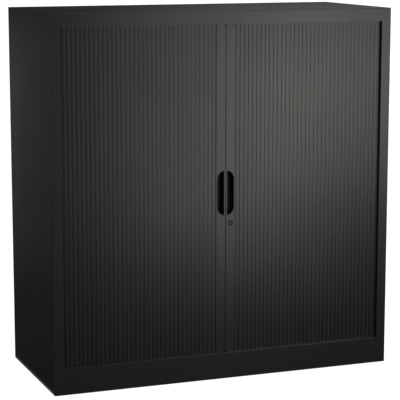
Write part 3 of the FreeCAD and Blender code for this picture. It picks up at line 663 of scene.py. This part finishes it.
def dress_nodes(names, material, edge):
    """Round the edges of CAD nodes that stay, and give them their finish."""
    for name in names:
        node = NODES[name]
        node.data.materials.clear()
        node.data.materials.append(material)
        weld = node.modifiers.new("Weld", "WELD")
        weld.merge_threshold = WELD_REACH
        bevel = node.modifiers.new("Edge", "BEVEL")
        bevel.width = edge
        bevel.segments = EDGE_SEGMENTS
        bevel.limit_method = "ANGLE"
        bevel.angle_limit = EDGE_ANGLE
        bevel.use_clamp_overlap = True
        normals = node.modifiers.new("Normals", "WEIGHTED_NORMAL")
        normals.keep_sharp = False


# Roller curtains

# Rounds of a slat's section, as directions in degrees round its hinges.
BEAD_START, BEAD_END = 22.4, 337.6
BACK_START, SOCKET_START, SOCKET_END = 270.0, 312.0, 22.0
EDGE_START, EDGE_END = 0.0, 90.0

# Steps in each of those rounds.
BEAD_STEPS = 9
BACK_STEPS = 3
SOCKET_STEPS = 9
LEAD_STEPS = 4
EDGE_STEPS = 4
CROWN_STEPS = 6

# Chamfer on a socket's lip, and the lean at the foot of a rib, in metres.
LIP_EASE = 0.0003
RIB_LEAN = 0.0002

# Range of the slats' own tones, and the angle above which an edge of a slat stays sharp.
SLAT_TONES = (0.9, 1.1)
SLAT_SHARP = 28.0


def slat_section(size):
    """One slat's closed section in door directions: bead, neck, rib and socket."""
    points = []

    def arc(centre, radius, start, end, steps):
        for step in range(steps + 1):
            angle = math.radians(start + (end - start) * step / steps)
            points.append((centre + radius * math.cos(angle), radius * math.sin(angle)))

    crest_end = size.crest_start + size.crest_width
    arc(0.0, size.bead, BEAD_START, BEAD_END, BEAD_STEPS)
    points.append((size.crest_start, -size.neck / 2))
    points.append((size.crest_start, -size.back))
    arc(size.pitch, size.back, BACK_START, SOCKET_START, BACK_STEPS)
    arc(size.pitch, size.socket, SOCKET_START, SOCKET_END, SOCKET_STEPS)
    lip = size.pitch + size.back * math.cos(math.radians(SOCKET_END))
    points.append((lip, size.back * math.sin(math.radians(SOCKET_END))))
    points.append((lip, size.land - LIP_EASE))
    points.append((lip - LIP_EASE, size.land))
    points.append((crest_end + RIB_LEAN, size.land))
    middle = (size.crest_start + crest_end) / 2
    flat = size.crest_width / 2 - size.rounding
    shoulder = size.crest - size.crown
    for sign in (1, -1):
        for step in range(EDGE_STEPS + 1):
            share = (step if sign > 0 else EDGE_STEPS - step) / EDGE_STEPS
            angle = math.radians(EDGE_START + (EDGE_END - EDGE_START) * share)
            across = middle + sign * (flat + size.rounding * math.cos(angle))
            points.append((across, shoulder - size.rounding + size.rounding * math.sin(angle)))
        if sign > 0:
            for step in range(1, CROWN_STEPS):
                share = 1 - 2 * step / CROWN_STEPS
                points.append((middle + share * flat, shoulder + size.crown * (1 - share**2)))
    points.append((size.crest_start, size.neck / 2))
    return points


def slat_places(size, line):
    """Hinge points and headings of the slats, along the straight run and round the front corner."""
    centre = Vector((size.corner_centre, line + size.corner_radius))
    hinge = Vector((size.first_hinge, line))
    turned = 0.0
    places = []
    for index in range(size.count):
        following = hinge + Vector((size.pitch, 0.0))
        if following.x > centre.x:
            radius = size.corner_radius
            short = max(centre.x - hinge.x, 0.0)
            reach = math.hypot(radius, short)
            cosine = (radius**2 + reach**2 - size.pitch**2) / (2 * radius * reach)
            turned += math.acos(cosine) - math.atan2(short, radius)
            following = centre + Vector((math.sin(turned), -math.cos(turned))) * radius
        along = (following - hinge).normalized()
        places.append((hinge, along))
        hinge = following
    return places


def lead_section(size):
    """The half slat that joins a stile: its edge strip and the socket of the first bead."""
    lip = size.back * math.cos(math.radians(SOCKET_END))
    points = [(0.0, size.land), (0.0, size.back)]
    for step in range(LEAD_STEPS + 1):
        angle = math.radians(EDGE_END + (SOCKET_END - EDGE_END) * step / LEAD_STEPS)
        points.append((size.back * math.cos(angle), size.back * math.sin(angle)))
    return points + [(lip, size.land - LIP_EASE), (lip - LIP_EASE, size.land)]


def build_curtain(form, hand, size):
    """All slats of one curtain, each a closed extrusion, behind the half slat at the stile."""
    section = slat_section(size)
    line = SLATS_LOW.y + size.crest
    tone = form.faces.layers.float.new("slat_tone_and_groove_shade")
    chance = random.Random(size.seed + hand)
    places = [(section, hinge, along) for hinge, along in slat_places(size, line)]
    places.append((lead_section(size), places[0][1], Vector((1.0, 0.0))))
    for section, hinge, along in places:
        outwards = Vector((along.y, -along.x))
        ring = [hinge + along * across + outwards * up for across, up in section]
        loops = [
            [(hand * point.x, point.y, height) for point in ring]
            for height in (SLATS_LOW.z, SLATS_HIGH.z)
        ]
        first = len(form.faces)
        add_loft(form, loops)
        shade = chance.uniform(*SLAT_TONES)
        form.faces.ensure_lookup_table()
        for index, (start, end) in enumerate(zip(section, section[1:] + section[:1])):
            # Faces in the grooves between the ribs get painted shade: their tone is darkened by the
            # groove setting.
            groove = 0.0 < max(start[1], end[1]) <= size.land
            form.faces[first + index][tone] = shade * (size.groove_shade if groove else 1.0)
        for index in range(first + len(section), len(form.faces)):
            form.faces[index][tone] = shade


class CABINET_OT_curtains(bpy.types.Operator):
    """Make both roller curtains from interlocked slats."""

    bl_idname = "cabinet.curtains"
    bl_label = "Roller curtains"

    def execute(self, context):
        size = context.scene.cabinet_curtain
        material = find_or_make("slat_plastic_and_groove_shade", make_slat_plastic_and_groove_shade)
        for name, hand in HANDS.items():
            curtain = add_object(
                f"{name}_curtain", lambda form: build_curtain(form, hand, size), material,
                f"{name}_door", [f"{name}_slats"], SLAT_SHARP,
            )
            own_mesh(curtain)
        return {"FINISHED"}


class CABINET_OT_carcass(bpy.types.Operator):
    """Coat the folded sheets of the carcass, the liners and the shelves."""

    bl_idname = "cabinet.carcass"
    bl_label = "Carcass and shelves"

    def execute(self, context):
        dress_nodes(COATED, find_or_make("sheet_finish", make_coat), edge=0.0003)
        return {"FINISHED"}


class CABINET_OT_stiles(bpy.types.Operator):
    """Coat the lead stiles and finish the glides in their ends."""

    bl_idname = "cabinet.stiles"
    bl_label = "Lead stiles"

    def execute(self, context):
        dress_nodes(STILES, find_or_make("stile_finish", make_coat), edge=0.00035)
        dress_nodes(SHOES, find_or_make("glide_finish", make_glide_plastic), edge=0.0004)
        return {"FINISHED"}


class CABINET_OT_tracks(bpy.types.Operator):
    """Finish the curved tracks and their centre stops."""

    bl_idname = "cabinet.tracks"
    bl_label = "Tracks"

    def execute(self, context):
        dress_nodes(TRACKS, find_or_make("track_finish", make_track_plastic), edge=0.0003)
        return {"FINISHED"}


# Finger cups

# A cup's opening: radius of its ends, its straight side from the middle of the cabinet and half the
# distance between its ends' centres, in metres. Then its play in the stile.
HANDLE_RADIUS = 0.025
HANDLE_FLAT = 0.0045
HANDLE_STRAIGHT = 0.0385
CUP_FIT = 0.00015

# Steps round each end of a cup, and along its straight side.
CUP_STEPS = 12
SIDE_STEPS = 6

# Inset and depth behind the stile's face, from the cup's back round its lip to its floor.
CUP_PROFILE = (
    (0.0009, 0.0170), (0.00035, 0.0167), (CUP_FIT, 0.0160), (CUP_FIT, 0.0024), (-0.0012, 0.0024),
    (-0.0012, 0.0013), (CUP_FIT, 0.0013), (CUP_FIT, 0.0004), (0.0003, 0.0001), (0.0006, 0.0),
    (0.0012, 0.0001), (0.0016, 0.0005), (0.0018, 0.0015), (0.0026, 0.0118), (0.0031, 0.0137),
    (0.0042, 0.0149), (0.0058, 0.0154), (0.0075, 0.0155),
)


def cup_loop(hand, inset, depth):
    """The cut-off long round of a finger cup, drawn in by an inset at one depth."""
    radius = HANDLE_RADIUS - inset
    flat = HANDLE_FLAT + inset
    middle = (CUP_LOW.z + CUP_HIGH.z) / 2
    sweep = math.acos(flat / radius)
    points = []
    for sign in (1, -1):
        for step in range(CUP_STEPS + 1):
            angle = sweep * (step / CUP_STEPS if sign < 0 else 1 - step / CUP_STEPS)
            height = HANDLE_STRAIGHT + radius * math.sin(angle)
            points.append((hand * radius * math.cos(angle), depth, middle + sign * height))
    reach = HANDLE_STRAIGHT + radius * math.sin(sweep)
    for step in range(1, SIDE_STEPS):
        points.append((hand * flat, depth, middle - reach + 2 * reach * step / SIDE_STEPS))
    return points


class CABINET_OT_finger_cups(bpy.types.Operator):
    """Make the two moulded finger cups."""

    bl_idname = "cabinet.finger_cups"
    bl_label = "Finger cups"

    def execute(self, context):
        material = find_or_make("cup_plastic_and_shade", make_cup_plastic_and_shade)
        for name, hand in HANDS.items():
            loops = [cup_loop(hand, inset, STILE_LOW.y + depth) for inset, depth in CUP_PROFILE]
            add_object(
                f"{name}_finger_cup", lambda form: add_loft(form, loops), material,
                f"{name}_door", [f"{name}_handle_cup"],
            )
        return {"FINISHED"}


# Lock

# Radius and depth of the bezel, from the lock's bore to the first turn of the thread.
BORE_RADIUS = 0.00508
BEZEL_PROFILE = (
    (BORE_RADIUS, 0.0006), (0.00530, 0.0002), (0.0058, 0.0), (0.0070, 0.0),
    (0.0076, 0.00015), (0.0079, 0.0005), (0.0080, 0.0010), (0.00645, 0.0010),
)

# The barrel's thread: its radii, its turns, where it starts and how far from the back it ends.
THREAD_CREST, THREAD_ROOT = 0.00645, 0.00610
BARREL_TURNS = 10
THREAD_START, THREAD_STOP = 0.0014, 0.0004

# The barrel's last edge: where it starts in front of the back, and its radius there.
BARREL_EASE = 0.0003
BARREL_END_RADIUS = 0.0062
BARREL_SEGMENTS = 48

# The plug: radius and depth of its face and edge, its side, and its key slot.
PLUG_PROFILE = ((0.0044, 0.0005), (0.0049, 0.0009), (0.00498, 0.0013))
PLUG_RADIUS = 0.00498
PLUG_SEGMENTS = 40
SLOT_HALF_WIDTH, SLOT_HALF_HEIGHT = 0.0008, 0.0035
SLOT_MOUTH, SLOT_FLOOR = 0.0005, 0.006


def lock_axis():
    """The lock's axis in X and Z."""
    return (PLUG_LOW.x + PLUG_HIGH.x) / 2, (BARREL_LOW.z + BARREL_HIGH.z) / 2


def build_barrel(form):
    """Bezel, threaded body and bore of the lock."""
    across, high = lock_axis()
    length = BARREL_HIGH.y - BARREL_LOW.y
    profile = list(BEZEL_PROFILE)
    run = length - THREAD_START - THREAD_STOP
    for turn in range(BARREL_TURNS):
        profile.append((THREAD_CREST, THREAD_START + run * turn / BARREL_TURNS))
        profile.append((THREAD_ROOT, THREAD_START + run * (turn + 0.5) / BARREL_TURNS))
    profile.append((THREAD_CREST, length - BARREL_EASE))
    profile.append((BARREL_END_RADIUS, length))
    profile.append((BORE_RADIUS, length))
    origin = (across, BARREL_LOW.y, high)
    add_turned(form, profile, origin, (0, 1, 0), (1, 0, 0), BARREL_SEGMENTS, closed=True)


def build_plug(form):
    """Plug with its key slot."""
    across, high = lock_axis()
    origin = Vector((across, PLUG_LOW.y, high))
    slot = [
        (x * SLOT_HALF_WIDTH, z * SLOT_HALF_HEIGHT) for x, z in ((1, 1), (-1, 1), (-1, -1), (1, -1))
    ]
    lips = [form.verts.new(origin + Vector((x, SLOT_MOUTH, z))) for x, z in slot]
    floor = [form.verts.new(origin + Vector((x, SLOT_FLOOR, z))) for x, z in slot]
    turns = [FULL_TURN * index / PLUG_SEGMENTS for index in range(PLUG_SEGMENTS)]
    loops = [
        [origin + Vector((radius * math.cos(t), depth, radius * math.sin(t))) for t in turns]
        for radius, depth in (*PLUG_PROFILE, (PLUG_RADIUS, PLUG_HIGH.y - PLUG_LOW.y))
    ]
    rings = add_loft(form, loops, first_cap=False)
    edges = []
    for loop in (rings[0], lips):
        for index, vertex in enumerate(loop):
            following = loop[(index + 1) % len(loop)]
            edges.append(form.edges.get((vertex, following)) or form.edges.new((vertex, following)))
    bmesh.ops.triangle_fill(form, use_beauty=True, edges=edges, normal=(0, -1, 0))
    for index in range(len(slot)):
        following = (index + 1) % len(slot)
        form.faces.new((lips[index], lips[following], floor[following], floor[index]))
    form.faces.new(floor)


class CABINET_OT_lock(bpy.types.Operator):
    """Make the lock's barrel and plug."""

    bl_idname = "cabinet.lock"
    bl_label = "Lock"

    def execute(self, context):
        add_object(
            "lock_bezel", build_barrel, find_or_make("bezel_finish", make_lock_metal),
            "right_door", ["lock_barrel"],
        )
        add_object(
            "lock_key_plug", build_plug, find_or_make("plug_finish", make_plug_metal),
            "lock", ["lock_plug"],
        )
        return {"FINISHED"}


# Feet and small fittings

# A stem's thread: pitch and depth in metres, points round it, rows in each turn and shading angle.
STEM_PITCH = 0.00125
STEM_DEPTH = 0.0006
STEM_SEGMENTS = 16
STEM_ROWS = 4
STEM_SHARP = 60.0

# Radius and height of a cap, from its spigot round its rim to its dome.
CAP_PROFILE = (
    (0.0096, -0.0040), (0.0104, -0.0036), (0.0107, -0.0004), (0.0107, 0.0), (0.0130, 0.0),
    (0.0130, 0.0006), (0.0124, 0.0012), (0.0105, 0.0015), (0.0040, 0.0015),
)
CAP_SEGMENTS = 32


def build_thread(form, low, high, centre, radius):
    """A screwed rod with a rolled thread."""
    length = high - low
    rows = int(length / STEM_PITCH * STEM_ROWS)
    loops = []
    for row in range(rows + 1):
        height = low + length * row / rows
        ring = []
        for index in range(STEM_SEGMENTS):
            phase = (row / STEM_ROWS + index / STEM_SEGMENTS) % 1.0
            depth = STEM_DEPTH if row in (0, rows) else STEM_DEPTH * abs(2 * phase - 1)
            reach = radius - depth
            angle = FULL_TURN * index / STEM_SEGMENTS
            ring.append((
                centre.x + reach * math.cos(angle), centre.y + reach * math.sin(angle), height,
            ))
        loops.append(ring)
    add_loft(form, loops)


class CABINET_OT_feet(bpy.types.Operator):
    """Thread the levelling feet's stems and finish their pads."""

    bl_idname = "cabinet.feet"
    bl_label = "Levelling feet"

    def execute(self, context):
        zinc = find_or_make("zinc_finish", make_zinc)
        for corner in CORNERS:
            low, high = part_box(f"foot_stem_{corner}")
            centre = (low + high) / 2
            add_object(
                f"threaded_stem_{corner}",
                lambda form: build_thread(form, low.z, high.z, centre, (high.x - low.x) / 2),
                zinc, f"foot_{corner}", [f"foot_stem_{corner}"], STEM_SHARP,
            )
        dress_nodes(PADS, find_or_make("glide_finish", make_glide_plastic), edge=0.0008)
        return {"FINISHED"}


def build_caps(form):
    """Four domed caps over the screwdriver holes of the feet."""
    for corner in CORNERS:
        low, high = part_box(f"foot_pad_{corner}")
        centre = (low + high) / 2
        origin = (centre.x, centre.y, SHELF_HIGH.z)
        add_turned(form, CAP_PROFILE, origin, (0, 0, 1), (1, 0, 0), CAP_SEGMENTS)


class CABINET_OT_fittings(bpy.types.Operator):
    """Plate the clips, nuts and brackets, and cap the screwdriver holes."""

    bl_idname = "cabinet.fittings"
    bl_label = "Small fittings"

    def execute(self, context):
        dress_nodes(PLATED, find_or_make("zinc_finish", make_zinc), edge=0.0003)
        add_object(
            "shelf_caps", build_caps, find_or_make("glide_finish", make_glide_plastic),
            "carcass", ["access_plugs"],
        )
        return {"FINISHED"}


# Stage

# Softboxes: place, point that each one faces, width and height, in metres.
KEY_BOX = ((1.13, -1.95, 0.7), (0.35, -0.2, 0.65), (0.7, 0.75))
LOW_BOX = ((0.8, -1.95, 0.18), (0.1, -0.2, 0.4), (0.45, 0.45))
WASH_BOX = ((0.45, -1.95, 0.7), (-0.25, -0.2, 0.6), (0.4, 1.7))
TOP_BOX = ((0.8, 0.3, 3.0), (0.0, 0.0, 0.8), (2.4, 2.4))
FILL_BOX = ((-3.0, -1.2, 1.8), (0.0, 0.0, 0.6), (1.6, 2.2))

# Dark cards that only reflections see: tone and corners. A third value is the tone at the left end
# of a card that fades.
CARDS = {
    "side_card": (
        0.08,
        (
            (-3.2, 3.4, 0.0), (-3.2, 3.4, 2.4), (-0.52, 0.9, 2.4),
            (-0.535, 0.9, 1.3), (-0.565, 0.9, 1.0), (-0.59, 0.9, 0.75),
            (-0.575, 0.9, 0.5), (-0.55, 0.9, 0.2), (-0.5, 0.9, 0.0),
        ),
    ),
    "side_floor_card": (
        0.04,
        ((-0.502, -0.6, 0.001), (-0.502, 1.2, 0.001), (-3.2, 3.4, 0.001), (-3.2, -0.6, 0.001)),
    ),
    "front_card": (
        0.006, ((-2.6, -2.9, 0.0), (3.6, -2.9, 0.0), (3.6, -2.9, 3.0), (-2.6, -2.9, 3.0)),
    ),
    "front_floor_card": (
        0.006,
        ((-2.6, -0.217, 0.001), (-2.6, -2.9, 0.001), (3.6, -2.9, 0.001), (3.6, -0.217, 0.001)),
        0.3,
    ),
    "rear_card": (
        0.006,
        (
            (-1.6, 2.2, 0.9), (2.8, 2.2, 0.9), (2.8, 2.2, 1.8), (1.2, 2.2, 1.8),
            (0.85, 2.2, 1.88), (0.6, 2.2, 2.0), (0.2, 2.2, 2.6), (-1.6, 2.2, 2.9),
        ),
    ),
}

# Where a fading card starts and stops to fade along X, and how much the felt of a card varies.
FADE_START, FADE_END = -0.7, 0.4
FELT_LOW, FELT_HIGH = 0.9, 1.1

# The floor: tones of its surface, its own glow in white rays, half its side and its depth.
FLOOR_TONES = (0.245, 0.255)
FLOOR_GLOW = 0.9
FLOOR_HALF = 30.0
FLOOR_DROP = 0.0004

SENSOR_WIDTH = 36.0
WHITE = (1.0, 1.0, 1.0)
BLACK = (0.0, 0.0, 0.0)


def see_white(tree):
    """1 for camera, glossy and transmitted rays, and 0 for all others."""
    path = add_node(tree, "ShaderNodeLightPath").outputs
    seen = add_math(tree, "MAXIMUM", path["Is Camera Ray"], path["Is Glossy Ray"])
    return add_math(tree, "MAXIMUM", seen, path["Is Transmission Ray"])


def make_floor_material():
    """Pale floor. Camera, glossy and transmitted rays see it white, and it keeps the shadow."""
    material, tree, shader = start_material("pale_floor", Roughness=0.9, Specular_IOR_Level=0.0)
    tone = spread(tree, add_noise(tree, scale=3.0, detail=3.0), *FLOOR_TONES)
    tree.links.new(tint(tree, WHITE, tone), shader.inputs["Base Color"])
    glow = add_node(
        tree, "ShaderNodeEmission", {"Color": (*WHITE, 1.0), "Strength": FLOOR_GLOW}
    )
    dark = add_node(tree, "ShaderNodeEmission", {"Color": (*BLACK, 1.0), "Strength": 0.0})
    chosen = add_node(tree, "ShaderNodeMixShader", {0: see_white(tree)})
    tree.links.new(dark.outputs["Emission"], chosen.inputs[1])
    tree.links.new(glow.outputs["Emission"], chosen.inputs[2])
    total = add_node(tree, "ShaderNodeAddShader")
    tree.links.new(shader.outputs["BSDF"], total.inputs[0])
    tree.links.new(chosen.outputs["Shader"], total.inputs[1])
    tree.links.new(total.outputs["Shader"], tree.nodes["Material Output"].inputs["Surface"])
    return material


def set_world(ambient, colour):
    """White for the camera, glossy and transmitted rays, and a soft even light for the rest."""
    world = bpy.data.worlds.new("studio")
    bpy.context.scene.world = world
    world.use_nodes = True
    tree = world.node_tree
    tree.nodes.clear()
    seen = see_white(tree)
    strength = add_range(tree, seen, low=0.0, high=1.0, to_low=ambient, to_high=1.0)
    tone = lay_over(tree, (*colour, 1.0), WHITE, seen)
    light = add_node(tree, "ShaderNodeBackground", {"Color": tone, "Strength": strength})
    output = add_node(tree, "ShaderNodeOutputWorld")
    tree.links.new(light.outputs["Background"], output.inputs["Surface"])


def add_softbox(name, place, aim, size, power):
    """A rectangular lamp that the camera doesn't see."""
    lamp = bpy.data.lights.new(name, "AREA")
    lamp.shape = "RECTANGLE"
    lamp.size, lamp.size_y = size
    lamp.energy = power
    holder = bpy.data.objects.new(name, lamp)
    holder.location = place
    holder.rotation_euler = (Vector(aim) - Vector(place)).to_track_quat("-Z", "Y").to_euler()
    holder.visible_camera = False
    bpy.context.scene.collection.objects.link(holder)
    return holder


def add_card(name, tone, corners, left_tone=None):
    """A dark card that only reflections see, as a studio uses to keep a dark side dark."""
    mesh = bpy.data.meshes.new(name)
    mesh.from_pydata(corners, [], [range(len(corners))])
    material, tree, shader = start_material(name, Roughness=1.0, Specular_IOR_Level=0.0)
    if left_tone is None:
        felt = spread(tree, add_noise(tree, scale=40.0), FELT_LOW * tone, FELT_HIGH * tone)
    else:
        along = pick_axis(tree, find_place(tree), "X")
        felt = add_range(tree, along, FADE_START, FADE_END, left_tone, tone)
    tree.links.new(tint(tree, WHITE, felt), shader.inputs["Base Color"])
    mesh.materials.append(material)
    card = bpy.data.objects.new(name, mesh)
    card.visible_camera = False
    card.visible_diffuse = False
    card.visible_shadow = False
    card.visible_transmission = False
    bpy.context.scene.collection.objects.link(card)


class CABINET_OT_stage(bpy.types.Operator):
    """Set the floor, the lamps, the world and the camera."""

    bl_idname = "cabinet.stage"
    bl_label = "Stage"

    def execute(self, context):
        scene = context.scene
        stage = scene.cabinet_stage
        scene.view_settings.view_transform = "Standard"
        form = bmesh.new()
        bmesh.ops.create_grid(form, x_segments=1, y_segments=1, size=FLOOR_HALF)
        mesh = bpy.data.meshes.new("floor")
        form.to_mesh(mesh)
        form.free()
        mesh.materials.append(make_floor_material())
        floor = bpy.data.objects.new("floor", mesh)
        floor.location.z = -FLOOR_DROP
        scene.collection.objects.link(floor)
        set_world(stage.ambient, stage.ambient_colour)
        for name, box, power in (
            ("key", KEY_BOX, stage.key_power),
            ("low_key", LOW_BOX, stage.low_power),
            ("wash", WASH_BOX, stage.wash_power),
        ):
            add_softbox(name, *box, power).data.color = stage.key_colour
        add_softbox("top", *TOP_BOX, stage.top_power)
        add_softbox("fill", *FILL_BOX, stage.fill_power)
        for name, card in CARDS.items():
            add_card(name, *card)
        camera = bpy.data.cameras.new("camera")
        camera.lens = stage.lens
        camera.sensor_width = SENSOR_WIDTH
        camera.dof.use_dof = False
        holder = bpy.data.objects.new("camera", camera)
        level = math.cos(stage.elevation)
        back = Vector((
            math.sin(stage.azimuth) * level,
            -math.cos(stage.azimuth) * level,
            math.sin(stage.elevation),
        ))
        holder.location = Vector(stage.target) + back * stage.distance
        holder.rotation_euler = (-back).to_track_quat("-Z", "Y").to_euler()
        scene.collection.objects.link(holder)
        scene.camera = holder
        return {"FINISHED"}


class CABINET_PT_panel(bpy.types.Panel):
    """Lists the pieces of the cabinet and their settings."""

    bl_idname = "CABINET_PT_panel"
    bl_label = "Roll Front Cabinet"
    bl_space_type = "VIEW_3D"
    bl_region_type = "UI"
    bl_category = "Cabinet"

    def draw(self, context):
        for operator in OPERATORS:
            self.layout.operator(operator.bl_idname)
        for title in ("cabinet_curtain", "cabinet_finish", "cabinet_stage"):
            settings = getattr(context.scene, title)
            box = self.layout.box()
            for name in settings.__annotations__:
                box.prop(settings, name)


SETTINGS = {
    "cabinet_curtain": CurtainSettings,
    "cabinet_finish": FinishSettings,
    "cabinet_stage": StageSettings,
}

OPERATORS = (
    CABINET_OT_carcass,
    CABINET_OT_tracks,
    CABINET_OT_curtains,
    CABINET_OT_stiles,
    CABINET_OT_finger_cups,
    CABINET_OT_lock,
    CABINET_OT_feet,
    CABINET_OT_fittings,
    CABINET_OT_stage,
)


def register():
    """Make the settings, operators and panel known to Blender."""
    for name, group in SETTINGS.items():
        bpy.utils.register_class(group)
        setattr(bpy.types.Scene, name, PointerProperty(type=group))
    for operator in (*OPERATORS, CABINET_PT_panel):
        bpy.utils.register_class(operator)


def unregister():
    """Take them out again."""
    for operator in (CABINET_PT_panel, *reversed(OPERATORS)):
        bpy.utils.unregister_class(operator)
    for name, group in SETTINGS.items():
        delattr(bpy.types.Scene, name)
        bpy.utils.unregister_class(group)


def main():
    """Build everything in order."""
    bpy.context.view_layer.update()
    register()
    bpy.ops.cabinet.carcass()
    bpy.ops.cabinet.tracks()
    bpy.ops.cabinet.curtains()
    bpy.ops.cabinet.stiles()
    bpy.ops.cabinet.finger_cups()
    bpy.ops.cabinet.lock()
    bpy.ops.cabinet.feet()
    bpy.ops.cabinet.fittings()
    bpy.ops.cabinet.stage()


if __name__ == "__main__":
    main()
